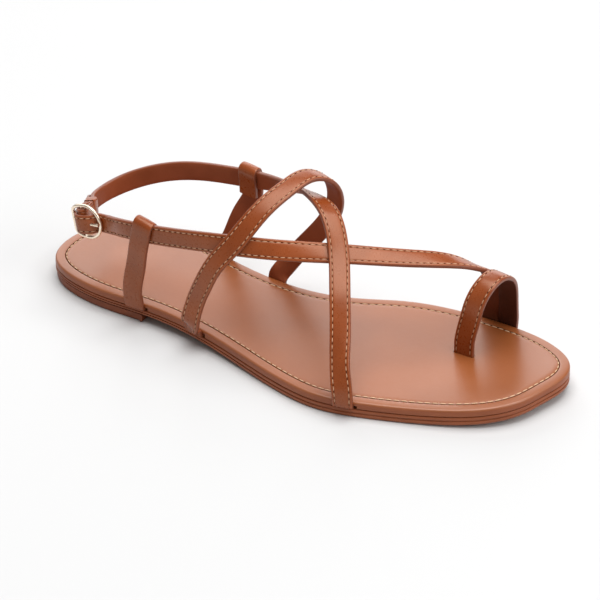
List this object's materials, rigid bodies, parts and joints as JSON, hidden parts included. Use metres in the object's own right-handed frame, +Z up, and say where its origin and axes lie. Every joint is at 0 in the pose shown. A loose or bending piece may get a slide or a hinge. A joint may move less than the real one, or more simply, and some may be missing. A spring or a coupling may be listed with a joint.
{
  "type": "strappy flat sandal",
  "caption": "Flat leather sandal for the right foot: thin layered sole, crossing narrow straps, toe loop and a slim metal buckle at the ankle.",
  "frame": {"origin": "middle of the bounding box, on the floor that heel and ball stand on", "axes": "+X from heel to toe, +Y to the big-toe side, +Z up"},
  "size_m": [0.25, 0.0968, 0.0808],
  "materials": {
    "heel_lift": "matt brown rubber",
    "outsole": "satin brown, groove along the side",
    "footbed": "semi-gloss tan leather",
    "upper": "semi-gloss brown leather with painted edges",
    "buckle_frame": "polished pale gold",
    "buckle_prong": "polished pale gold",
    "strap_keeper": "semi-gloss brown leather"
  },
  "bodies": {
    "root": {"heel_lift": "heel_lift", "outsole": "outsole", "footbed": "footbed", "upper": "upper", "buckle_frame": "buckle_frame", "buckle_prong": "buckle_prong", "strap_keeper": "strap_keeper"}
  },
  "joints": []
}
